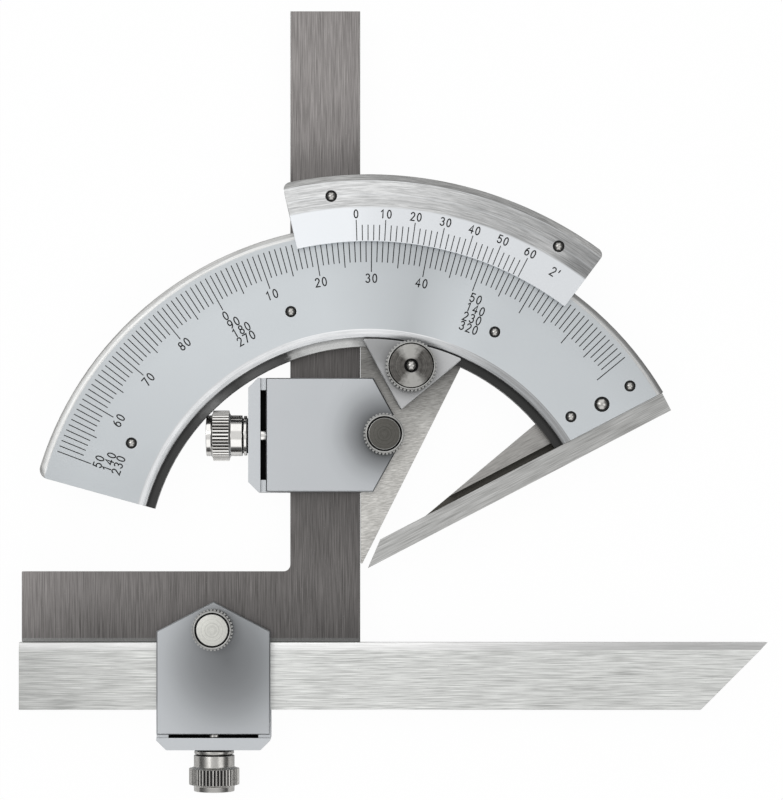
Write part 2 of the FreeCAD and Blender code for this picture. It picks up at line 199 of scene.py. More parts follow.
def brushedSurface(graph, look):
    # ground surface: fine strokes over broad streaks, a few specks, and painted reflections and
    # shade along X or Y
    length, width, broad = look["grainLength"], look["grainWidth"], look["broad"]
    turn = math.radians(look["grainAngle"])
    fine = graph.noise(graph.objectPlace((length, width, width), turn), 3.0, 0.65)
    streak = graph.noise(
        graph.objectPlace((length * broad, width * broad, width * broad), turn), 3.0, 0.6)
    share, cloudShare = look["streakShare"], look["cloudShare"]
    mask = graph.rise(fine * (1.0 - share - cloudShare) + streak * share
                      + graph.flecks(look["cloud"]) * cloudShare, 0.36, 0.64)
    spots = graph.rise(graph.flecks(look["speck"], 1.0), 0.73, 0.78)
    colour = graph.blend(mask, look["dark"], look["light"])
    colour = graph.blend(spots * look["spotShare"], colour, look["spot"])
    colour = graph.tonedAlong(colour, look.get("tones", ()))
    roughness = look["roughness"] + (fine - 0.5) * look["roughSpread"]
    return colour, roughness, fine


def satinSurface(graph, look):
    # satin metal; painted shade lies in soft patches given by centre, half widths and levels
    # outwards
    fine = graph.flecks(look["fleck"], 4.0, 0.7)
    cloud = graph.flecks(look["cloud"])
    scuff = graph.noise(graph.objectPlace(look["scuff"], look["scuffTurn"]))
    worn = graph.rise(scuff, 0.66, 0.72)
    colour = graph.blend(cloud, look["light"], look["dark"])
    colour = graph.blend(worn * look["scuffShare"], colour, look["worn"])
    for centre, half, stops in look.get("shades", ()):
        reach = graph.length(graph.objectPlace((*half, 0), 0.0, (*centre, 0)))
        colour = graph.toned(colour, reach + (cloud - 0.5) * look["shadeWobble"], stops)
    roughness = (look["roughness"] + (cloud - 0.5) * look["roughSpread"]
                 + (fine - 0.5) * look["fineRough"])
    return colour, roughness, fine


def arcSurface(graph, look):
    # satin arc plate with bands ground round the dial's axis; a band is its lowest and highest
    # radius, the softness of its edges, a dark and a light colour, and levels by angle that paint
    # reflections
    place, radius, degrees = graph.dialPolar(look["grainLength"], look["grainWidth"])
    cloud = graph.flecks(look["cloud"])
    fleck = graph.flecks(look["fleck"], 3.0, 0.7)
    colour = graph.blend(cloud, look["light"], look["dark"])
    # painted reflections and shade by angle and radius over the whole plate
    colour = graph.toned(colour, degrees, look["turnTones"])
    if "rimTones" in look:
        colour = graph.toned(colour, radius, look["rimTones"])
    grain = graph.noise(place, 4.0, 0.65)
    mask = graph.rise(grain, 0.34, 0.66)
    ground = 0.0
    for low, high, soft, dark, light, stops in look["bands"]:
        inside = graph.between(radius, low, high, soft)
        brushed = graph.toned(graph.blend(mask, dark, light), degrees, stops)
        colour = graph.blend(inside, colour, brushed)
        ground = ground + inside
    roughness = (look["roughness"] + (grain - 0.5) * ground * look["grainRough"]
                 + (fleck - 0.5) * look["fleckRough"])
    return colour, roughness, fleck * look["fleckHeight"] + grain * ground


def ledgeSurface(graph, look):
    # polished ledge: dark, with a painted reflection as a bright stretch at its top left, and
    # painted shade over its outer half
    place, radius, degrees = graph.dialPolar(look["grainLength"], look["grainWidth"])
    grain = graph.noise(place, 4.0, 0.6)
    mottle = graph.flecks(look["mottle"], 3.0, 0.6)
    colour = graph.blend(grain, look["dark"], look["light"])
    colour = graph.toned(colour, degrees + (mottle - 0.5) * look["sway"], look["turnTones"])
    colour = graph.toned(colour, radius, look["rimTones"])
    roughness = look["roughness"] + (grain - 0.5) * look["roughSpread"]
    return colour, roughness, grain


def turnedSurface(graph, look, centre):
    # rings about a centre; a painted glint lies on a turned face in two opposite fans
    place = graph.objectPlace((1.0, 1.0, 1.0), 0.0, centre)
    flat = graph.add("ShaderNodeVectorMath", {"operation": "MULTIPLY"}, {0: place, 1: (1, 1, 0)})
    x, y, z = graph.parts(flat)
    rings = graph.add("ShaderNodeTexNoise", {"noise_dimensions": "1D"}, {
        "W": graph.length(flat) * look["ringPitch"], "Scale": 1.0, "Detail": 3.0, "Roughness": 0.6})
    mottle = graph.noise(place, 3.0, 0.6, look["mottle"])
    share = look["ringShare"]
    mask = graph.rise(rings * share + mottle * (1.0 - share), 0.38, 0.62)
    colour = graph.blend(mask, look["dark"], look["light"])
    if look["fanShare"]:
        turn = math.radians(look["fanTurn"])
        fan = graph.maths("COSINE", graph.maths("ARCTAN2", y, x) * 2.0 - turn)
        glint = graph.rise(fan * 0.5 + 0.5 + (mottle - 0.5) * 0.5, 0.45, 0.95)
        colour = graph.blend(glint * look["fanShare"], colour, look["fan"])
    roughness = look["roughness"] + (rings - 0.5) * look["roughSpread"]
    return colour, roughness, rings


def inkSurface(graph, look):
    wear = graph.flecks(look["wear"])
    colour = graph.blend(wear, look["dark"], look["light"])
    roughness = look["roughness"] + (wear - 0.5) * look["roughSpread"]
    return colour, roughness, None


groundLook = {
    "grainAngle": 0.0, "grainLength": 8.0, "grainWidth": 0.16, "broad": 2.5, "cloudShare": 0.1,
    "speck": 0.3, "spotShare": 0.15, "roughness": 0.36, "roughSpread": 0.2, "bump": 0.002,
    "metallic": 0.9}
squareLook = {
    **groundLook, "grainAngle": 90.0, "grainWidth": 0.14, "cloud": 20.0, "streakShare": 0.05,
    "spot": (0.75, 0.74, 0.73), "speck": 0.24, "spotShare": 0.6, "roughness": 0.40,
    "bump": 0.0015, "metallic": 0.8, "tones": (
        # levels along Y and X: painted reflections
        ("y", ((-15, 0.36), (-12.5, 0.40), (-9, 0.46), (-4, 0.55), (1.5, 0.56), (7.5, 0.50),
               (14, 0.42), (42, 0.37), (60, 0.45), (80.6, 0.66), (86, 0.91), (94, 1.0),
               (112, 1.0))),
        ("x", ((-70, 1.0), (-66, 0.92), (-60, 0.79), (-55, 0.73), (-45, 0.70), (-16, 0.61),
               (-6, 0.60), (-3, 0.56), (0, 0.54))))}
ruleLook = {
    **groundLook, "cloud": 12.0, "streakShare": 0.03, "spot": (0.38, 0.39, 0.39),
    "spotShare": 0.35, "roughness": 0.37}
satinLook = {
    "scuff": (5.0, 0.25, 1000.0), "scuffTurn": 0.9, "scuffShare": 0.2, "roughSpread": 0.1,
    "fineRough": 0.05, "shadeWobble": 0.1, "bump": 0.0008}
clampLook = {
    **satinLook, "light": (0.57, 0.59, 0.61), "dark": (0.52, 0.54, 0.56),
    "worn": (0.36, 0.37, 0.38), "fleck": 0.14, "cloud": 12.0, "scuffTurn": 1.25,
    "scuffShare": 0.10, "roughness": 0.38, "metallic": 0.9}
polishLook = {**satinLook, "fleck": 0.3, "metallic": 1.0}
arcLook = {
    "cloud": 18.0, "fleck": 0.12, "roughness": 0.36, "grainRough": 0.2, "fleckRough": 0.04,
    "fleckHeight": 0.15, "metallic": 0.85}
inkLook = {"wear": 0.5, "roughness": 0.6, "roughSpread": 0.2, "specular": 0.15, "metallic": 0.0}

finishTable = (
    ("dialSatin", arcSurface, arcLook, {
        "light": (0.614, 0.646, 0.667), "dark": (0.577, 0.608, 0.629), "grainLength": 7.0,
        "grainWidth": 0.12, "bump": 0.0010,
        # levels by angle and radius, and the bands' levels by angle: painted reflections and shade
        "turnTones": ((25, 0.93), (60, 0.95), (70, 1.01), (80, 0.815), (92, 0.94), (100, 1.01),
                      (110, 1.0), (125, 0.96), (140, 0.90), (160, 0.84)),
        "rimTones": ((44, 1.0), (58, 0.98), (66, 0.90), (70, 0.85)), "bands": (
            (66.72, 67.35, 0.15, (0.50, 0.50, 0.49), (0.85, 0.85, 0.84),
             ((25, 0.70), (60, 0.80), (110, 1.0), (135, 0.85), (160, 0.70))),
            (67.35, 70.0, 0.15, (0.30, 0.30, 0.295), (0.60, 0.60, 0.59),
             ((25, 0.52), (60, 0.60), (110, 1.0), (135, 0.95), (160, 0.80))),
            (47.20, 47.42, 0.04, (0.80, 0.81, 0.82), (0.90, 0.90, 0.91),
             ((25, 0.36), (62, 0.42), (76, 1.0), (104, 1.0), (114, 0.72), (160, 0.62))),
            (46.4, 47.20, 0.20, (0.66, 0.67, 0.68), (0.90, 0.91, 0.92),
             ((25, 0.36), (55, 0.42), (72, 0.76), (85, 1.0), (160, 1.0))),
            (44.0, 46.4, 0.25, (0.42, 0.43, 0.44), (0.72, 0.73, 0.74),
             ((25, 0.44), (55, 0.50), (72, 0.80), (85, 1.0), (160, 1.0))))}),
    ("vernierSatin", arcSurface, arcLook, {
        "light": (0.85, 0.875, 0.905), "dark": (0.82, 0.845, 0.87), "grainLength": 3.2,
        "grainWidth": 0.14, "bump": 0.0015,
        # levels by angle, also in the bands: painted reflections
        "turnTones": ((50, 0.84), (86, 0.86), (91, 0.93), (93, 1.0), (105, 1.0)), "bands": (
            (71.4, 73.9, 0.20, (0.46, 0.465, 0.465), (0.86, 0.865, 0.865),
             ((53, 0.36), (56, 0.38), (60, 0.71), (65, 0.60), (72, 0.63), (78, 0.79), (83, 0.80),
              (88, 0.89), (94, 0.96), (99, 0.88), (102, 0.86))),
            (73.9, 76.65, 0.20, (0.46, 0.465, 0.465), (0.88, 0.885, 0.885),
             ((53, 0.42), (57, 0.44), (60, 0.52), (65, 0.60), (72, 0.64), (78, 0.86), (85, 0.94),
              (89, 1.0), (96, 1.0), (102, 0.95))),
            (76.65, 80.0, 0.03, (0.36, 0.36, 0.355), (0.86, 0.86, 0.85),
             ((53, 0.62), (60, 0.56), (66, 0.42), (86, 0.42), (94, 0.56), (102, 0.50))))}),
    ("clampSatin", satinSurface, clampLook, {}),
    ("coverSatinA", satinSurface, clampLook, {"scuffShare": 0.16, "shades": (
        # painted shadow round the lock knob
        ((3.15, 26.5), (20.0, 20.0), (
            (0.0, 0.25), (0.2, 0.28), (0.35, 0.54), (0.42, 0.69), (0.54, 0.87), (0.65, 0.93),
            (0.9, 0.93), (1.3, 0.94))),)}),
    ("coverSatinB", satinSurface, clampLook, {"scuffShare": 0.05, "shades": (
        # painted shade over the middle of the cover
        ((-28.0, -18.4), (13.2, 14.6), (
            (0.0, 0.30), (0.33, 0.38), (0.53, 0.46), (0.73, 0.59), (0.95, 0.77), (1.2, 0.90),
            (1.6, 1.0))),)}),
    ("brakeSatin", satinSurface, clampLook, {
        "light": (0.53, 0.535, 0.54), "dark": (0.47, 0.475, 0.48), "shades": (
            # painted shadow round the brake nut, then painted shade at the plate's left
            ((8.4, 39.8), (11.0, 11.0), (
                (0.0, 0.6), (0.45, 0.72), (0.60, 0.94), (0.8, 1.0), (1.2, 1.0))),
            ((2.6, 43.6), (6.0, 4.0), ((0.0, 0.62), (0.6, 0.70), (1.0, 1.0), (1.3, 1.0))))}),
    ("ledgeSteel", ledgeSurface, {}, {
        "dark": (0.52, 0.53, 0.54), "light": (0.74, 0.74, 0.72), "metallic": 0.75,
        "grainLength": 6.0, "grainWidth": 0.2, "mottle": 1.2, "sway": 6.0, "roughness": 0.28,
        "roughSpread": 0.2, "bump": 0.002,
        # levels by angle: painted reflection, bright at the top left; levels by radius: painted
        # shade
        "turnTones": ((25, 0.06), (60, 0.05), (84, 0.10), (91, 0.45), (95, 0.90), (105, 0.88),
                      (109, 0.60), (111.5, 0.09), (116, 0.13), (121, 0.16), (126, 0.08),
                      (130, 0.14), (134, 0.26), (138, 0.10), (143, 0.07), (160, 0.07)),
        "rimTones": ((43.5, 1.0), (45.1, 1.0), (45.5, 0.78), (46.5, 0.72))}),
    ("sectorSteel", brushedSurface, groundLook, {
        "light": (0.72, 0.71, 0.68), "dark": (0.34, 0.333, 0.315), "grainAngle": 8.0,
        "grainLength": 1.4, "grainWidth": 0.17, "cloud": 5.0, "streakShare": 0.20,
        "spot": (0.8, 0.79, 0.76), "spotShare": 0.3, "roughness": 0.38, "bump": 0.003, "tones": (
            # levels along Y: painted shadow of the brake plate
            ("y", ((0, 1.0), (26, 0.97), (31, 0.70), (36, 0.54), (41, 0.32), (47, 0.8),
                   (80, 0.8))),)}),
    ("baseSteel", brushedSurface, groundLook, {
        "light": (0.64, 0.64, 0.63), "dark": (0.32, 0.32, 0.31), "grainAngle": 27.5, "cloud": 9.0,
        "streakShare": 0.04, "spot": (0.75, 0.75, 0.74), "tones": (
            # levels along X: painted reflections
            ("x", ((0, 0.94), (12, 0.91), (46, 0.79), (62, 0.78))),)}),
    ("gussetSteel", brushedSurface, groundLook, {
        "light": (0.40, 0.39, 0.375), "dark": (0.25, 0.245, 0.235), "grainAngle": 27.5,
        "grainLength": 3.0, "grainWidth": 0.18, "cloud": 6.0, "streakShare": 0.12,
        "spot": (0.6, 0.6, 0.6)}),
    ("squareSteel", brushedSurface, squareLook, {
        "light": (0.585, 0.552, 0.54), "dark": (0.255, 0.24, 0.232)}),
    # a lighter copy of the square's steel on its bevels: painted highlight
    ("squareBevelHighlight", brushedSurface, squareLook, {
        "light": (0.70, 0.70, 0.69), "dark": (0.44, 0.44, 0.43)}),
    ("ruleSteel", brushedSurface, ruleLook, {
        "light": (0.86, 0.87, 0.85), "dark": (0.42, 0.425, 0.415), "tones": (
            # levels along X: painted reflections
            ("x", ((-70, 0.70), (-60, 0.76), (-46, 0.90), (-12, 1.04), (0, 1.01), (30, 0.95),
                   (80, 0.94))),)}),
    # a lighter copy of the rule's steel on its bevel: painted highlight
    ("ruleBevelHighlight", brushedSurface, ruleLook, {
        "light": (0.98, 0.98, 0.975), "dark": (0.74, 0.74, 0.73), "tones": (
            # levels along X: painted reflections
            ("x", ((-70, 0.61), (-56, 0.68), (-46, 0.75), (-14, 0.95), (8, 0.90), (18, 0.80),
                   (38, 0.65), (58, 0.53), (68, 0.50), (80, 0.51))),)}),
    ("rimSteel", brushedSurface, groundLook, {
        "light": (0.48, 0.48, 0.47), "dark": (0.28, 0.28, 0.275), "grainLength": 5.0,
        "grainWidth": 0.18, "streakShare": 0.2, "cloud": 12.0, "spot": (0.5, 0.5, 0.5),
        "spotShare": 0.1, "roughness": 0.34, "bump": 0.003}),
    ("plainSteel", satinSurface, satinLook, {
        "light": (0.42, 0.42, 0.41), "dark": (0.30, 0.30, 0.29), "worn": (0.55, 0.55, 0.54),
        "fleck": 0.2, "cloud": 4.0, "scuffTurn": 0.2, "roughness": 0.30, "bump": 0.001,
        "metallic": 0.95}),
    ("polish", satinSurface, polishLook, {
        "light": (0.78, 0.77, 0.75), "dark": (0.66, 0.65, 0.63), "worn": (0.50, 0.50, 0.49),
        "cloud": 2.0, "scuffShare": 0.12, "roughness": 0.12, "roughSpread": 0.06, "bump": 0.0005}),
    ("darkPolish", satinSurface, polishLook, {
        "light": (0.52, 0.51, 0.49), "dark": (0.36, 0.355, 0.34), "worn": (0.25, 0.25, 0.24),
        "cloud": 1.2, "roughness": 0.26}),
    ("markFill", inkSurface, inkLook, {
        "dark": (0.006, 0.006, 0.006), "light": (0.018, 0.018, 0.019)}),
    # near-black painted shade, laid in slots, gaps, grooves, bores and rings
    ("shadowed", inkSurface, inkLook, {
        "dark": (0.006, 0.006, 0.006), "light": (0.016, 0.016, 0.016)}),
    ("grooveSteel", inkSurface, inkLook, {
        "dark": (0.065, 0.061, 0.052), "light": (0.10, 0.095, 0.084)}),
)
finishes = {name: makeFinish(name, surface, {**shared, **own})
            for name, surface, shared, own in finishTable}
print("finishes made:", len(finishes))


# Meshes

def addObject(name, mesh):
    piece = bpy.data.objects.new(name, mesh)
    bpy.context.scene.collection.objects.link(piece)
    return piece


def meshOf(name, shape, *metals):
    mesh = bpy.data.meshes.new(name)
    shape.to_mesh(mesh)
    shape.free()
    for metal in metals:
        mesh.materials.append(metal)
    return mesh


def settle(piece):
    # modifiers applied, the result kept as a plain mesh
    bpy.context.view_layer.update()
    solved = piece.evaluated_get(bpy.context.evaluated_depsgraph_get())
    mesh = bpy.data.meshes.new_from_object(solved)
    piece.modifiers.clear()
    piece.data = mesh
    return piece


def shadeByAngle(mesh, degrees):
    mesh.shade_smooth()
    mesh.set_sharp_from_angle(angle=math.radians(degrees))


def dress(piece, body, slot, *replaced):
    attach(piece, body)
    if replaced:
        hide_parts(*replaced)
    return piece


def laidAt(x, y, z=0.0):
    return Matrix.Translation((x * mm, y * mm, z * mm))


def boxOf(node):
    # lowest and highest corner in millimetres
    low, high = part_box(node)
    return low / mm, high / mm


def asideOf(polygon):
    return math.hypot(polygon.center.x, polygon.center.y) / mm


# Small slotted screws, seen only from behind

screwLook = {
    # millimetres; the heads' turns in radians, the spacer's angles in degrees
    "seat": 1.7, "head": 1.62, "sunk": 0.22, "drop": 0.08, "slotLong": 3.078, "slotWidth": 0.36,
    "slotThick": 0.04, "soft": 0.06, "sides": 48, "turn": 0.5, "turnStep": 1.1,
    "coverInset": 9.0, "coverSpread": 7.5, "spacerRadius": 72.8, "spacerAngles": (88.0, 68.0)}


def coverScrewPlaces(letter):
    low, high = boxOf("clamp_" + letter + "_cover")
    middle = (low + high) / 2
    inset, spread = screwLook["coverInset"], screwLook["coverSpread"]
    if letter == "a":
        return [(low.x + inset, middle.y + side * spread) for side in (1, -1)]
    return [(middle.x + side * spread, low.y + inset) for side in (1, -1)]


def spacerScrewPlaces():
    turns = [math.radians(angle) for angle in screwLook["spacerAngles"]]
    radius = screwLook["spacerRadius"]
    return [(radius * math.cos(turn), radius * math.sin(turn)) for turn in turns]


backScrews = {"clamp_a_body": coverScrewPlaces("a"), "clamp_b_body": coverScrewPlaces("b"),
              "sector_plate": spacerScrewPlaces()}


def recessCutter(node):
    # short drums that sink the screw heads into a back face
    shape = bmesh.new()
    for x, y in backScrews[node]:
        bmesh.ops.create_cone(shape, cap_ends=True, segments=screwLook["sides"],
                              radius1=screwLook["seat"] * mm, radius2=screwLook["seat"] * mm,
                              depth=2 * screwLook["sunk"] * mm,
                              matrix=laidAt(x, y, boxOf(node)[0].z))
    return addObject("recessCutter", meshOf("recessCutter", shape))


# Plates: copies of the CAD solids with their triangles joined and their edges broken

plateLook = {"weld": 0.002, "flat": 0.6, "edgeAngle": 32.0, "segments": 2, "smooth": 28.0}


def platePiece(node, name, finish, body, slot, edge):
    shape = bmesh.new()
    shape.from_mesh(nodes[node].data)
    bmesh.ops.remove_doubles(shape, verts=shape.verts, dist=plateLook["weld"] * mm)
    bmesh.ops.dissolve_limit(shape, angle_limit=math.radians(plateLook["flat"]),
                             verts=shape.verts, edges=shape.edges)
    piece = addObject(name, meshOf(name, shape, finish))
    cutter = None
    if node in backScrews:
        cutter = recessCutter(node)
        cut = piece.modifiers.new("recess", "BOOLEAN")
        cut.operation = "DIFFERENCE"
        cut.solver = "EXACT"
        cut.object = cutter
    bevel = piece.modifiers.new("edges", "BEVEL")
    bevel.width = edge * mm
    bevel.segments = plateLook["segments"]
    bevel.limit_method = "ANGLE"
    bevel.angle_limit = math.radians(plateLook["edgeAngle"])
    bevel.use_clamp_overlap = True
    settle(piece)
    if cutter:
        bpy.data.objects.remove(cutter)
    shadeByAngle(piece.data, plateLook["smooth"])
    weigh = piece.modifiers.new("weigh", "WEIGHTED_NORMAL")
    weigh.keep_sharp = True
    settle(piece)
    return dress(piece, body, slot, node)


plates = (
    ("dial_plate", "dialFace", "dialSatin", "dial", "satin_chrome", 0.10),
    ("dial_ring", "dialLedge", "ledgeSteel", "dial", "polished_steel", 0.10),
    ("base_blade", "baseBlade", "baseSteel", "dial", "warm_brushed_steel", 0.10),
    ("sector_plate", "sectorPlate", "sectorSteel", "sector", "warm_brushed_steel", 0.12),
    ("sector_guide", "sectorGuide", "sectorSteel", "sector", "warm_brushed_steel", 0.08),
    ("vernier_spacer", "vernierSpacer", "rimSteel", "sector", "warm_brushed_steel", 0.10),
    ("vernier_plate", "vernierPlate", "vernierSatin", "sector", "satin_chrome", 0.08),
    ("brake_plate", "brakePlate", "brakeSatin", "sector", "satin_chrome", 0.26),
    ("square", "squareBlade", "squareSteel", "square", "dark_brushed_steel", 0.12),
    ("rule", "straightRule", "ruleSteel", "rule", "light_brushed_steel", 0.08),
    ("clamp_a_body", "clampBodyA", "clampSatin", "sector", "satin_chrome", 0.14),
    ("clamp_a_cover", "clampCoverA", "coverSatinA", "sector", "satin_chrome", 0.06),
    ("clamp_b_body", "clampBodyB", "clampSatin", "clamp_b", "satin_chrome", 0.14),
    ("clamp_b_cover", "clampCoverB", "coverSatinB", "clamp_b", "satin_chrome", 0.06),
    ("pressure_pad_a", "pressurePadA", "plainSteel", "sector", "plain_steel", 0.10),
    ("pressure_pad_b", "pressurePadB", "plainSteel", "clamp_b", "plain_steel", 0.10),
)
dressed = {}
for node, name, finish, body, slot, edge in plates:
    dressed[node] = platePiece(node, name, finishes[finish], body, slot, edge).data

paintLook = {
    "bar": 2.42, "post": 2.38, "over": 0.02, "floor": 0.3,  # the slot between end bar and cover
    "grooveLevel": 5.5, "near": 0.05, "gussetTop": 7.1, "upright": 0.9,  # the base's lower faces
    "tiltLow": 0.3, "tiltHigh": 0.995, "tiltArea": 5.0}  # relief bevels


def paint(mesh, finish, wanted):
    mesh.materials.append(finishes[finish])
    for polygon in mesh.polygons:
        if wanted(polygon):
            polygon.material_index = len(mesh.materials) - 1


def paintSlot(letter, along):
    # the faces between the end bar and the cover lie in shadow and get painted shade
    across = 1 - along
    low, high = boxOf("clamp_" + letter + "_body")
    low[along] += paintLook["bar"]
    high[along] = boxOf("clamp_" + letter + "_cover")[0][along] + paintLook["over"]
    low[across] += paintLook["post"]
    high[across] -= paintLook["post"]
    low.z += paintLook["floor"]
    paint(dressed["clamp_" + letter + "_body"], "shadowed", lambda polygon: all(
        low[axis] <= polygon.center[axis] / mm <= high[axis] for axis in range(3)))


def onGroove(polygon):
    level = polygon.center.z / mm - paintLook["grooveLevel"]
    return abs(level) < paintLook["near"] and polygon.normal.z > paintLook["upright"]


def onGusset(polygon):
    level = polygon.center.z / mm
    return (paintLook["grooveLevel"] + paintLook["near"] <= level < paintLook["gussetTop"]
            and polygon.normal.z > paintLook["upright"])


def onBevel(polygon):
    return (paintLook["tiltLow"] < polygon.normal.z < paintLook["tiltHigh"]
            and polygon.area > paintLook["tiltArea"] * mm * mm)


paintSlot("a", 0)
paintSlot("b", 1)
# the groove and gusset get their own steel; the bevels of the rule and square get lighter copies:
# painted highlight
for node, finish, wanted in (
        ("base_blade", "grooveSteel", onGroove), ("base_blade", "gussetSteel", onGusset),
        ("rule", "ruleBevelHighlight", onBevel), ("square", "squareBevelHighlight", onBevel)):
    paint(dressed[node], finish, wanted)
print("plates dressed:", len(plates))


# Geometry node trees

def newTree(name, inputs):
    # inputs are given as words, by the kind of their sockets
    tree = bpy.data.node_groups.new(name, "GeometryNodeTree")
    labels = []
    for kind, words in inputs.items():
        for label in words.split():
            tree.interface.new_socket(label, in_out="INPUT", socket_type="NodeSocket" + kind)
            labels.append(label)
    tree.interface.new_socket("Geometry", in_out="OUTPUT", socket_type="NodeSocketGeometry")
    graph = Graph(tree)
    source = tree.nodes.new("NodeGroupInput")
    return tree, graph, {label: Wire(graph, source.outputs[label]) for label in labels}


def aboutAxis(graph, count, radius, angle, level, part, size):
    # copies of a unit part on a circle, each turned outwards
    place = graph.add("ShaderNodeCombineXYZ", {}, {
        "X": radius * graph.maths("COSINE", angle), "Y": radius * graph.maths("SINE", angle),
        "Z": level})
    points = graph.add("GeometryNodePoints", {}, {"Count": count, "Position": place})
    spin = graph.add("ShaderNodeCombineXYZ", {}, {"Z": angle})
    return graph.add("GeometryNodeInstanceOnPoints", {}, {
        "Points": points, "Instance": part, "Rotation": spin,
        "Scale": graph.add("ShaderNodeCombineXYZ", {}, dict(zip("XYZ", size)))})


def closeTree(graph, geometry, material):
    real = graph.add("GeometryNodeRealizeInstances", {}, {"Geometry": geometry})
    painted = graph.add("GeometryNodeSetMaterial", {}, {"Geometry": real, "Material": material})
    graph.add("NodeGroupOutput", {}, {0: painted})


def grow(name, tree, values):
    # runs a tree on an empty mesh and keeps the plain result
    piece = addObject(name, bpy.data.meshes.new(name))
    modifier = piece.modifiers.new("grow", "NODES")
    modifier.node_group = tree
    for item in tree.interface.items_tree:
        if item.in_out == "INPUT":
            modifier[item.identifier] = values[item.name]
    return settle(piece)


def markTree():
    tree, graph, wire = newTree("scaleMarks", {
        "Int": "Marks", "Float": "Step First Rim Way Short Fifth Tenth Line Depth Level",
        "Material": "Fill"})
    index = graph.add("GeometryNodeInputIndex")

    def every(count):
        return graph.maths("LESS_THAN", graph.maths("MODULO", index, count), 0.5)

    length = (wire["Short"] + (wire["Fifth"] - wire["Short"]) * every(5)
              + (wire["Tenth"] - wire["Fifth"]) * every(10))
    bar = graph.add("GeometryNodeMeshCube", {}, {"Size": (1, 1, 1)})
    bars = aboutAxis(graph, wire["Marks"], wire["Rim"] + wire["Way"] * length * 0.5,
                     wire["First"] - wire["Step"] * index, wire["Level"], bar,
                     (length, wire["Line"], wire["Depth"]))
    closeTree(graph, bars, wire["Fill"])
    return tree


# marks and numerals stand a hair proud of the satin faces
dialScale = {
    "marks": 121, "step": 1.0, "first": 159.4, "rim": 65.85, "way": -1.0,
    "short": 5.2, "fifth": 6.15, "tenth": 7.15, "line": 0.19}
vernierScale = {
    "marks": 31, "step": 0.9733, "first": 92.0, "rim": 64.77, "way": 1.0,
    "short": 3.1, "fifth": 4.1, "tenth": 4.1, "line": 0.18}
markDepth = 0.02
faceLevel = {node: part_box(node)[1].z for node in ("dial_plate", "vernier_plate")}


def scaleMarks(name, tree, scale, node, body):
    values = {"Marks": scale["marks"], "Way": scale["way"], "Depth": markDepth * mm,
              "Level": faceLevel[node], "Fill": finishes["markFill"]}
    for key in ("step", "first"):
        values[key.title()] = math.radians(scale[key])
    for key in ("rim", "short", "fifth", "tenth", "line"):
        values[key.title()] = scale[key] * mm
    return dress(grow(name, tree, values), body, "satin_chrome")


marks = markTree()
scaleMarks("dialMarks", marks, dialScale, "dial_plate", "dial")
scaleMarks("vernierMarks", marks, vernierScale, "vernier_plate", "sector")
print("scale marks cut")


# Numerals: strokes of arcs and lines in a cell of unit height

numeralLook = {
    "width": 0.48, "squeeze": 0.86, "stroke": 0.125, "pitch": 0.83, "rowPitch": 1.96, "depth": 0.02,
    "mitre": 0.5, "capSteps": 6,
    "dialHeight": 1.65, "dialRadius": 57.45,
    "vernierHeight": 1.55, "vernierRadius": 70.05,
    "unit": ("2'", 69.05, 57.5, 1.7, 0.0)}  # text, radius, angle, height and how far aside


def arc(cx, cy, rx, ry, start, end, steps=10):
    points = []
    for step in range(steps + 1):
        turn = math.radians(start + (end - start) * step / steps)
        points.append((cx + rx * math.cos(turn), cy + ry * math.sin(turn)))
    return points


glyphs = {
    "0": [arc(0.28, 0.5, 0.27, 0.5, 90, 450, 24)],
    "1": [[(0.08, 0.80), (0.30, 1.0), (0.30, 0.0)]],
    "2": [arc(0.28, 0.73, 0.26, 0.27, 165, -35, 12) + [(0.02, 0.0), (0.56, 0.0)]],
    "3": [arc(0.26, 0.76, 0.24, 0.24, 150, -80, 10) + arc(0.27, 0.27, 0.28, 0.27, 80, -150, 12)],
    "4": [[(0.42, 0.0), (0.42, 1.0), (0.0, 0.28), (0.58, 0.28)]],
    "5": [[(0.50, 1.0), (0.08, 1.0), (0.04, 0.56)] + arc(0.27, 0.32, 0.28, 0.32, 120, -150, 12)],
    "6": [arc(0.28, 0.31, 0.27, 0.31, 0, 360, 18), arc(0.52, 0.36, 0.51, 0.66, 112, 182, 8)],
    "7": [[(0.0, 1.0), (0.56, 1.0), (0.20, 0.0)]],
    "8": [arc(0.28, 0.76, 0.22, 0.24, 0, 360, 16), arc(0.28, 0.27, 0.27, 0.27, 0, 360, 18)],
    "9": [arc(0.28, 0.69, 0.27, 0.31, 0, 360, 18), arc(0.04, 0.64, 0.51, 0.66, -68, 2, 8)],
    "'": [[(0.10, 1.05), (0.04, 0.75)]],
}


def numberWidth(text):
    return (len(text) - 1) * numeralLook["pitch"] + numeralLook["width"]


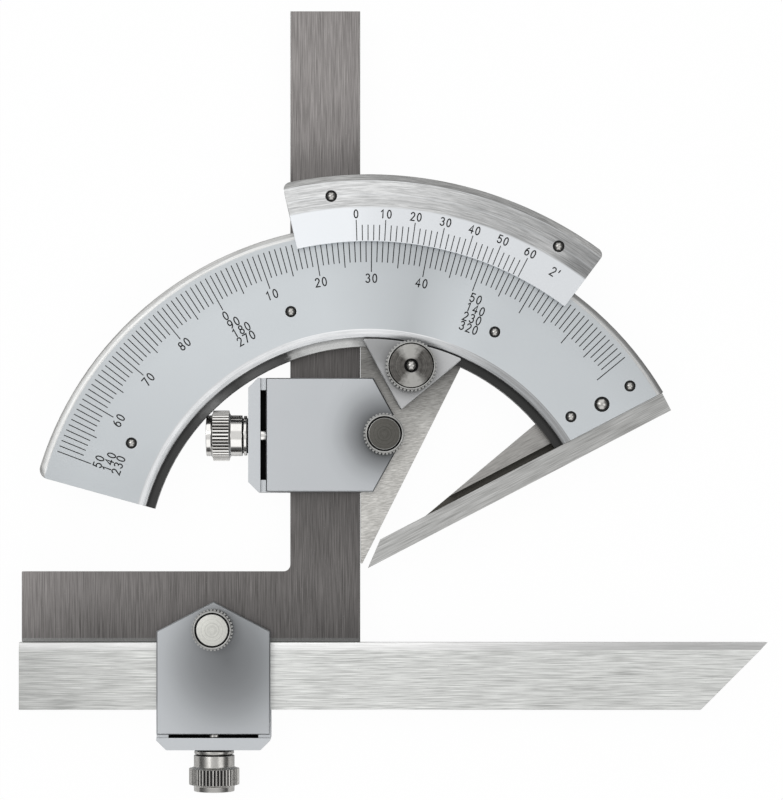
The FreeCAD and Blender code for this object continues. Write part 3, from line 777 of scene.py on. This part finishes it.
def ribbon(shape, points):
    # a flat stroke of constant width with mitred corners and round ends
    half = numeralLook["stroke"] * mm
    path = [Vector(point) for point in points]
    closed = (path[0] - path[-1]).length < 1e-9
    if closed:
        path.pop()
    rims = []
    last = len(path) - 1
    for step, point in enumerate(path):
        before = path[step - 1] if step or closed else 2 * point - path[1]
        after = path[(step + 1) % (last + 1)] if step < last or closed else 2 * point - before
        first, second = (point - before).normalized(), (after - point).normalized()
        across = Vector((-first.y - second.y, first.x + second.x)).normalized()
        reach = half / max(numeralLook["mitre"], across.dot(Vector((-first.y, first.x))))
        rims.append([shape.verts.new((*(point + across * reach * side), 0)) for side in (1, -1)])
    for (left, right), (nextLeft, nextRight) in zip(rims, rims[1:] + rims[:1] * closed):
        shape.faces.new((left, right, nextRight, nextLeft))
    if closed:
        return
    steps = numeralLook["capSteps"]
    for point, (near, far) in ((path[0], rims[0]), (path[-1], rims[-1][::-1])):
        arm = near.co.xy - point
        cap = [shape.verts.new((*(point + Matrix.Rotation(math.pi * step / steps, 2) @ arm), 0))
               for step in range(1, steps)]
        shape.faces.new([near] + cap + [far])


def writeNumber(shape, text, centre, turn, height):
    # each glyph is laid on the face with its foot towards the dial's axis
    spin = Matrix.Rotation(turn, 2)
    for place, letter in enumerate(text):
        start = place * numeralLook["pitch"] - numberWidth(text) / 2
        for stroke in glyphs[letter]:
            points = [Vector((x * numeralLook["squeeze"] + start, y - 0.5)) for x, y in stroke]
            ribbon(shape, [(centre + spin @ point * height) * mm for point in points])


def numerals(name, entries, node, body):
    # entries: text, radius and angle of its middle, height, and how far it stands aside
    shape = bmesh.new()
    for text, radius, angle, height, aside in entries:
        turn = math.radians(angle) - math.pi / 2
        writeNumber(shape, text, Matrix.Rotation(turn, 2) @ Vector((aside, radius)), turn, height)
    sunk = bmesh.ops.extrude_face_region(shape, geom=shape.faces[:])["geom"]
    low = [item for item in sunk if isinstance(item, bmesh.types.BMVert)]
    depth = numeralLook["depth"] * mm
    bmesh.ops.translate(shape, vec=(0, 0, -depth), verts=low)
    bmesh.ops.recalc_face_normals(shape, faces=shape.faces)
    mesh = meshOf(name, shape, finishes["markFill"])
    mesh.transform(Matrix.Translation((0, 0, faceLevel[node] + depth / 2)))
    return dress(addObject(name, mesh), body, "satin_chrome")


# every tenth mark from the left end; the three stacks also number the other positions of the blades
# and their rows start at one line, given here from the mark
dialNumbers = ("50 140 230", "60", "70", "80", "0 90 180 270", "10", "20", "30", "40",
               "50 140 230 320")
stackStart = {0: -0.15, 4: -0.5, 9: 0.1}


def dialEntries():
    height = numeralLook["dialHeight"]
    for step, rows in enumerate(dialNumbers):
        for row, label in enumerate(rows.split()):
            aside = 0.0
            if step in stackStart:
                aside = stackStart[step] + numberWidth(label) * height / 2
            yield (label, numeralLook["dialRadius"] - row * numeralLook["rowPitch"],
                   dialScale["first"] - 10 * step, height, aside)


def vernierEntries():
    # minutes: two for each division, a number at every fifth
    for step in range(7):
        angle = vernierScale["first"] - step * 5 * vernierScale["step"]
        yield (str(step * 10), numeralLook["vernierRadius"], angle,
               numeralLook["vernierHeight"], 0.0)
    yield numeralLook["unit"]


numerals("dialNumerals", dialEntries(), "dial_plate", "dial")
numerals("vernierNumerals", vernierEntries(), "vernier_plate", "sector")
print("numerals written")


# Turned pieces: a lathe for the cores, a tree for the knurls

turnedLook = {"sides": 72, "studSides": 64, "pinSides": 48, "smooth": 35.0, "pinSmooth": 30.0,
              "corner": 0.12, "cornerSteps": 3, "cornerShare": 0.45, "knurlFoot": 0.03}


def lathe(name, profile, steps):
    # profile of (radius, height) in millimetres about +Z, from the axis round to the axis
    shape = bmesh.new()
    turns = [2 * math.pi * step / steps for step in range(steps)]
    rings = []
    for radius, height in profile:
        spots = [(radius * math.cos(turn), radius * math.sin(turn)) for turn in turns]
        if not radius:
            spots = [(0, 0)]
        rings.append([shape.verts.new((x * mm, y * mm, height * mm)) for x, y in spots])
    for low, high in zip(rings, rings[1:]):
        for step in range(steps):
            after = (step + 1) % steps
            if len(low) == 1:
                shape.faces.new((low[0], high[after], high[step]))
            elif len(high) == 1:
                shape.faces.new((low[step], low[after], high[0]))
            else:
                shape.faces.new((low[step], low[after], high[after], high[step]))
    bmesh.ops.recalc_face_normals(shape, faces=shape.faces)
    return meshOf(name, shape)


def rounded(profile, radius=turnedLook["corner"]):
    # breaks each corner of a lathe profile with a small arc
    result = [profile[0]]
    steps = turnedLook["cornerSteps"]
    for before, corner, after in zip(profile, profile[1:], profile[2:]):
        first, second = math.dist(before, corner), math.dist(corner, after)
        cut = min(radius, min(first, second) * turnedLook["cornerShare"])
        start = [corner[k] + (before[k] - corner[k]) * cut / first for k in (0, 1)]
        end = [corner[k] + (after[k] - corner[k]) * cut / second for k in (0, 1)]
        for step in range(steps + 1):
            share = step / steps
            result.append(tuple((1 - share) ** 2 * start[k] + 2 * share * (1 - share) * corner[k]
                                + share ** 2 * end[k] for k in (0, 1)))
    result.append(profile[-1])
    return result


def joined(name, parts, pose, *metals):
    # parts are meshes drawn about +Z; pose lays them where the CAD piece is
    shape = bmesh.new()
    for part in parts:
        shape.from_mesh(part)
    mesh = meshOf(name, shape, *metals)
    mesh.transform(pose)
    return mesh


def knurlTree():
    tree, graph, wire = newTree("knurl", {
        "Int": "Teeth", "Float": "Radius Length Tooth Rise Start", "Material": "Metal"})
    angle = graph.add("GeometryNodeInputIndex") * (2 * math.pi) / wire["Teeth"]
    rib = graph.add("GeometryNodeMeshCylinder", {"fill_type": "NGON"}, {
        "Vertices": 10, "Radius": 1.0, "Depth": 1.0})
    ribs = aboutAxis(graph, wire["Teeth"], wire["Radius"], angle,
                     wire["Start"] + wire["Length"] * 0.5, rib,
                     (wire["Rise"], wire["Tooth"] * 0.5, wire["Length"]))
    closeTree(graph, ribs, wire["Metal"])
    return tree


knurl = knurlTree()


def knurledPiece(name, node, body, slot, pose, profile, look, start, length, finish, zones):
    # teeth stand round the core from start on; the zones lay another finish on the core between two
    # radii and two heights
    core = lathe(name + "Core", rounded(profile), turnedLook["sides"])
    foot, near = look["radius"] - look["rise"], turnedLook["knurlFoot"]
    # the core between the teeth gets painted shade
    zones = [(finishes["shadowed"], (foot - near, foot + near), (start, start + length))] + zones
    for polygon in core.polygons:
        radius, height = asideOf(polygon), polygon.center.z / mm
        for index, zone in enumerate(zones, 1):
            radii, heights = zone[1:]
            if radii[0] < radius < radii[1] and heights[0] < height < heights[1]:
                polygon.material_index = index
    teeth = grow(name + "Teeth", knurl, {
        "Teeth": look["teeth"], "Radius": foot * mm, "Length": length * mm,
        "Tooth": look["tooth"] * mm, "Rise": look["rise"] * mm, "Start": start * mm,
        "Metal": finish})
    for polygon in teeth.data.polygons:
        polygon.material_index = 0
    mesh = joined(name, [core, teeth.data], pose, finish, *(zone[0] for zone in zones))
    bpy.data.objects.remove(teeth)
    shadeByAngle(mesh, turnedLook["smooth"])
    return dress(addObject(name, mesh), body, slot, node)


thumbLook = {
    "radius": 5.05, "gripLong": 3.9, "collar": (3.98, 0.9), "neck": (4.08, 2.6),
    "boss": (4.08, 1.0), "groove": (3.5, 0.3), "shank": 1.4, "slope": 0.35, "teeth": 44,
    "tooth": 0.5, "rise": 0.3, "darkSlack": 0.03, "darkUnder": 0.05, "darkOver": 0.35}


def thumbScrew(letter, outward, metal):
    # drawn with its head end at the origin and the shank along -Z
    node = "thumb_screw_" + letter
    low, high = boxOf(node)
    reach = abs((high - low).dot(outward)) / 2
    pose = (laidAt(*((low + high) / 2 + outward * reach))
            @ outward.to_track_quat("Z", "Y").to_matrix().to_4x4())
    (boss, bossLong), (neck, neckLong) = thumbLook["boss"], thumbLook["neck"]
    (collar, collarLong), (groove, wide) = thumbLook["collar"], thumbLook["groove"]
    core = thumbLook["radius"] - thumbLook["rise"]
    slope, shank = thumbLook["slope"], thumbLook["shank"]
    gripFoot = -bossLong - thumbLook["gripLong"]
    neckFoot = gripFoot - neckLong
    collarFoot = neckFoot - collarLong
    profile = [
        (0, 0), (boss, 0), (boss, -bossLong), (core, -bossLong - slope), (core, gripFoot + slope),
        (neck, gripFoot), (neck, neckFoot + wide), (groove, neckFoot + wide), (groove, neckFoot),
        (collar, neckFoot), (collar, collarFoot + wide), (groove, collarFoot + wide),
        (groove, collarFoot), (shank, collarFoot), (shank, -2 * reach), (0, -2 * reach)]
    # painted shade in the grooves by the collar
    dark = (finishes["shadowed"], (0, groove + thumbLook["darkSlack"]),
            (collarFoot - thumbLook["darkUnder"], neckFoot + thumbLook["darkOver"]))
    return knurledPiece(
        "thumbScrew" + letter.upper(), node, "screw_" + letter, "polished_steel", pose, profile,
        thumbLook, gripFoot + slope, thumbLook["gripLong"] - 2 * slope, metal, [dark])


thumbScrew("a", Vector((-1, 0, 0)), finishes["polish"])
# screw B gets the darker polish: painted shade
thumbScrew("b", Vector((0, -1, 0)), finishes["darkPolish"])

wheelLook = {"chamfer": 0.3, "tooth": 0.5, "rise": 0.3, "metallic": 0.9, "dish": 0.02,
             "grooveSlack": 0.1}
knobLook = {
    **wheelLook, "radius": 4.15, "height": 4.9, "shank": 1.5, "topDrop": 0.4, "rim": 3.78,
    "lip": 3.45, "lean": 0.04, "groove": 3.18, "grooveDeep": 0.5, "recess": 0.3, "teeth": 35,
    "ringPitch": 4.0, "ringShare": 0.75, "mottle": 2.2, "fanShare": 0.0, "roughness": 0.4,
    "roughSpread": 0.15, "bump": 0.004, "faceRadii": (0, 3.0), "faceUnder": 0.1, "gripLong": 4.1}
nutLook = {
    **wheelLook, "face": "nutFace", "radius": 5.08, "tooth": 0.52, "bore": 1.65, "mouth": 1.4,
    "mouthDeep": 0.35, "topDrop": 0.35, "rim": 4.72, "lip": 4.46, "lean": 0.02, "groove": 4.32,
    "grooveDeep": 0.3, "boreSlack": 0.02, "mouthSlack": 0.1, "recess": 0.25, "teeth": 41,
    "ringPitch": 2.6, "ringShare": 0.5, "mottle": 1.3,
    # the fan colour is a painted glint
    "light": (0.125, 0.12, 0.112), "dark": (0.06, 0.057, 0.053), "fan": (0.46, 0.455, 0.435),
    "fanShare": 0.8, "fanTurn": 190.0, "roughness": 0.34, "roughSpread": 0.2, "bump": 0.005,
    "faceRadii": (1.4, 4.32), "faceUnder": 0.05, "gripLong": 3.4}


def knurledWheel(name, node, body, look, foot, inner, zones):
    # a toothed drum with a ring groove in its top; inner gives its profile up to the foot
    low, high = boxOf(node)
    x, y, top = (low.x + high.x) / 2, (low.y + high.y) / 2, high.z
    core, face = look["radius"] - look["rise"], top - look["recess"]
    groove, chamfer = face - look["grooveDeep"], look["chamfer"]
    profile = inner + [
        (core - chamfer, foot), (core, foot + chamfer), (core, top - look["topDrop"]),
        (look["rim"], top), (look["lip"], top), (look["lip"] - look["lean"], groove),
        (look["groove"], groove), (look["groove"] - look["dish"], face), (inner[0][0], face)]
    # painted shade in the ring groove of the top
    shadowed = (finishes["shadowed"], (look["groove"], look["lip"]),
                (groove - look["grooveSlack"], top - look["grooveSlack"]))
    turned = (makeFinish(look["face"], turnedSurface, look, (x, y, 0)), look["faceRadii"],
              (face - look["faceUnder"], top))
    return knurledPiece(name, node, body, "turned_steel", laidAt(x, y), profile, look,
                        foot + chamfer, look["gripLong"], finishes["plainSteel"],
                        [shadowed] + zones + [turned])


def lockKnob(letter, light, dark):
    node = "lock_knob_" + letter
    low, high = boxOf(node)
    foot = high.z - knobLook["height"]
    inner = [(0, low.z), (knobLook["shank"], low.z), (knobLook["shank"], foot)]
    return knurledWheel("lockKnob" + letter.upper(), node, "knob_" + letter,
                        {**knobLook, "face": "knobFace" + letter.upper(), "light": light,
                         "dark": dark}, foot, inner, [])


def brakeNut():
    low, high = boxOf("brake_nut")
    bore, mouth = nutLook["bore"], nutLook["mouth"]
    face = high.z - nutLook["recess"]
    under = face - nutLook["mouthDeep"]
    inner = [(mouth, face), (mouth, under), (bore, under), (bore, low.z)]
    slack = nutLook["boreSlack"]
    # painted shade down the bore and the mouth
    bottom = [(finishes["shadowed"], (0, bore + slack), (low.z, face - slack)),
              (finishes["shadowed"], (0, mouth + nutLook["mouthSlack"]), (low.z, high.z))]
    return knurledWheel("brakeNut", "brake_nut", "nut", nutLook, low.z, inner, bottom)


# the knobs are one part; knob A's darker face tone is painted shade
lockKnob("a", (0.115, 0.111, 0.102), (0.072, 0.070, 0.062))
lockKnob("b", (0.66, 0.66, 0.62), (0.47, 0.47, 0.44))
brakeNut()
print("knurled pieces turned")


# Pins: a polished domed end with a ring of painted shade round it, where it meets its hole

pinLook = {"cap": 0.34, "capShare": 0.68, "shrink": 0.04, "steps": 8, "lift": 0.02, "slack": 0.01}


def cappedEnd(radius, top, height):
    # from the pole down to the rim of a spherical cap
    ball = (radius ** 2 + height ** 2) / (2 * height)
    reach = math.asin(min(1.0, radius / ball))
    if height > ball:
        reach = math.pi - reach
    leans = [reach * step / pinLook["steps"] for step in range(pinLook["steps"] + 1)]
    return [(ball * math.sin(lean), top - ball + ball * math.cos(lean)) for lean in leans]


def islandsOf(node):
    # lowest and highest corners of the solids that share a node, in millimetres
    shape = bmesh.new()
    shape.from_mesh(nodes[node].data)
    bmesh.ops.remove_doubles(shape, verts=shape.verts, dist=plateLook["weld"] * mm)
    waiting = set(shape.verts)
    found = []
    while waiting:
        group = [waiting.pop()]
        for vert in group:
            for edge in vert.link_edges:
                other = edge.other_vert(vert)
                if other in waiting:
                    waiting.remove(other)
                    group.append(other)
        found.append([[pick(vert.co[axis] for vert in group) / mm for axis in range(3)]
                      for pick in (min, max)])
    shape.free()
    return sorted(found)


def domedPins(node, name, body):
    parts = []
    for low, high in islandsOf(node):
        radius = (high[0] - low[0]) / 2 - pinLook["shrink"]
        cap = radius * pinLook["capShare"]
        ring, foot = high[2] - pinLook["cap"], low[2] + pinLook["lift"]
        part = lathe(name, cappedEnd(cap, high[2], pinLook["cap"]) + [
            (radius, ring), (radius, foot), (0, foot)], turnedLook["pinSides"])
        for polygon in part.polygons:
            above = polygon.center.z / mm > ring - pinLook["slack"]
            polygon.material_index = int(above and asideOf(polygon) > cap)
        part.transform(laidAt((low[0] + high[0]) / 2, (low[1] + high[1]) / 2))
        parts.append(part)
    mesh = joined(name, parts, Matrix.Identity(4), finishes["darkPolish"], finishes["shadowed"])
    shadeByAngle(mesh, turnedLook["pinSmooth"])
    return dress(addObject(name, mesh), body, "polished_steel", node)


for node, name, body in (
        ("dial_pins", "dialPins", "dial"), ("base_pins", "basePins", "dial"),
        ("base_rivet", "baseRivet", "dial"), ("vernier_pins", "vernierPins", "sector")):
    domedPins(node, name, body)

studLook = {"neck": 1.08, "cap": 0.85, "shoulder": 1.3, "lift": 0.01, "slack": 0.02, "tilt": -0.1}


def brakeStud():
    # a shank, a shoulder in the nut's shadow, and a round end that stands in the nut's mouth; below
    # the round end all is painted shade
    low, high = boxOf("brake_stud")
    shank, neck = (high.x - low.x) / 2, studLook["neck"]
    shoulder, foot = high.z - studLook["shoulder"], low.z + studLook["lift"]
    core = lathe("brakeStud", cappedEnd(neck, high.z, studLook["cap"]) + [
        (neck, shoulder), (shank, shoulder), (shank, foot), (0, foot)], turnedLook["studSides"])
    for polygon in core.polygons:
        polygon.material_index = int(asideOf(polygon) > neck - studLook["slack"]
                                     and polygon.normal.z > studLook["tilt"])
    mesh = joined("brakeStud", [core], laidAt((low.x + high.x) / 2, (low.y + high.y) / 2),
                  finishes["darkPolish"], finishes["shadowed"])
    shadeByAngle(mesh, turnedLook["smooth"])
    return dress(addObject("brakeStud", mesh), "sector", "polished_steel", "brake_stud")


brakeStud()


def screwHeads(node, name, body):
    # slotted heads just under a back face; the slots are filled with painted shade
    level = boxOf(node)[0].z
    face, seat = level + screwLook["drop"], level + screwLook["sunk"]
    head = lathe(name, rounded([(0, face), (screwLook["head"], face), (screwLook["head"], seat),
                                (0, seat)], screwLook["soft"]), screwLook["sides"])
    size = Matrix.Diagonal([screwLook[key] * mm for key in ("slotLong", "slotWidth", "slotThick")]
                           + [1.0])
    shape = bmesh.new()
    for step, (x, y) in enumerate(backScrews[node]):
        part = head.copy()
        part.transform(laidAt(x, y))
        shape.from_mesh(part)
        turn = Matrix.Rotation(screwLook["turn"] + screwLook["turnStep"] * step, 4, "Z")
        bar = bmesh.ops.create_cube(shape, size=1.0, matrix=laidAt(x, y, face) @ turn @ size)
        for polygon in {polygon for vert in bar["verts"] for polygon in vert.link_faces}:
            polygon.material_index = 1
    mesh = meshOf(name, shape, finishes["plainSteel"], finishes["shadowed"])
    shadeByAngle(mesh, turnedLook["smooth"])
    return dress(addObject(name, mesh), body, "plain_steel")


screwHeads("clamp_a_body", "coverScrewsA", "sector")
screwHeads("clamp_b_body", "coverScrewsB", "clamp_b")
screwHeads("sector_plate", "spacerScrews", "sector")
nodes["brake_washer"].data.materials.clear()
nodes["brake_washer"].data.materials.append(finishes["plainSteel"])
print("pins and screws set")


# Floor, light and camera

photo = {"width": 783, "height": 800, "perMm": 5.0, "axisX": 368.0, "axisY": 567.8}
view = {"distance": 460.0, "eyeX": 338.0, "eyeY": 545.0, "level": 7.0, "sensor": 36.0,
        "clipStart": 0.01}
floorLook = {"paper": (0.9, 0.9, 0.9, 1), "glowShare": 0.97, "half": 1.5, "drop": -0.0002}
lamps = (
    # name, size, place, strength
    ("overheadLeft", (0.4, 0.6), (-0.5, 0.25, 0.75), 1.6),
    ("overheadRight", (0.3, 0.4), (0.5, 0.0, 0.6), 0.5),
)
lampAim = (0, 0.03, 0)
studioLook = {
    "overhead": ((0.0, 0.10), (0.30, 0.14), (0.60, 0.30), (0.85, 0.70), (0.96, 0.88), (1.0, 0.88)),
    "alongY": ((0.0, 0.0), (0.34, 0.0), (0.46, 1.0), (0.90, 1.0), (0.96, 0.0), (1.0, 0.0)),
    "alongX": ((0.0, 1.0), (0.40, 1.0), (0.62, 0.0), (1.0, 0.0)), "boxLevel": 1.35}


def placeCamera():
    eyeX = (view["eyeX"] - photo["axisX"]) / photo["perMm"]
    eyeY = (photo["axisY"] - view["eyeY"]) / photo["perMm"]
    data = bpy.data.cameras.new("photoCamera")
    data.sensor_width = view["sensor"]
    data.lens = photo["perMm"] * view["distance"] * view["sensor"] / photo["height"]
    data.shift_x = (photo["width"] / 2 - view["eyeX"]) / photo["height"]
    data.shift_y = (view["eyeY"] - photo["height"] / 2) / photo["height"]
    data.clip_start = view["clipStart"]
    camera = addObject("photoCamera", data)
    camera.location = (eyeX * mm, eyeY * mm, (view["distance"] + view["level"]) * mm)
    bpy.context.scene.camera = camera


def whiteFloor():
    material, graph = newFinish("floorWhite")
    paper = graph.add("ShaderNodeBsdfDiffuse", {}, {"Color": floorLook["paper"]})
    glow = graph.add("ShaderNodeEmission", {}, {"Color": (1, 1, 1, 1), "Strength": 1.0})
    path = graph.add("ShaderNodeLightPath", output="Is Camera Ray")
    mixed = graph.add("ShaderNodeMixShader", {}, {
        0: path * floorLook["glowShare"], 1: paper, 2: glow})
    graph.add("ShaderNodeOutputMaterial", {}, {"Surface": mixed})
    half = floorLook["half"]
    mesh = bpy.data.meshes.new("floor")
    mesh.from_pydata([(-half, -half, 0), (half, -half, 0), (half, half, 0), (-half, half, 0)], [],
                     [(0, 1, 2, 3)])
    mesh.materials.append(material)
    floor = addObject("floor", mesh)
    floor.location.z = floorLook["drop"]


def worldLight():
    # grey overhead, two broad soft boxes towards +Y and -Y, dark at both ends of X
    world = bpy.data.worlds.new("studio")
    bpy.context.scene.world = world
    world.use_nodes = True
    world.node_tree.nodes.clear()
    graph = Graph(world.node_tree)
    x, y, z = graph.parts(graph.add("ShaderNodeTexCoord", output="Generated"))
    span, width = graph.ramp(abs(y), studioLook["alongY"]), graph.ramp(abs(x), studioLook["alongX"])
    inside = span * width
    tone = graph.ramp(z, studioLook["overhead"]) * (1.0 - inside) + inside * studioLook["boxLevel"]
    shade = graph.add("ShaderNodeBackground", {}, {"Color": tone, "Strength": 1.0})
    seen = graph.add("ShaderNodeBackground", {}, {"Color": (1, 1, 1, 1), "Strength": 1.0})
    path = graph.add("ShaderNodeLightPath", output="Is Camera Ray")
    mixed = graph.add("ShaderNodeMixShader", {}, {0: path, 1: shade, 2: seen})
    graph.add("ShaderNodeOutputWorld", {}, {"Surface": mixed})


def softLight(name, size, place, strength):
    data = bpy.data.lights.new(name, "AREA")
    data.shape = "RECTANGLE"
    data.size, data.size_y = size
    data.energy = strength
    lamp = addObject(name, data)
    lamp.location = place
    lamp.rotation_euler = (Vector(lampAim) - Vector(place)).to_track_quat("-Z", "Y").to_euler()


placeCamera()
whiteFloor()
worldLight()
for lamp in lamps:
    softLight(*lamp)
bpy.context.scene.view_settings.view_transform = "Standard"
print("stage set")
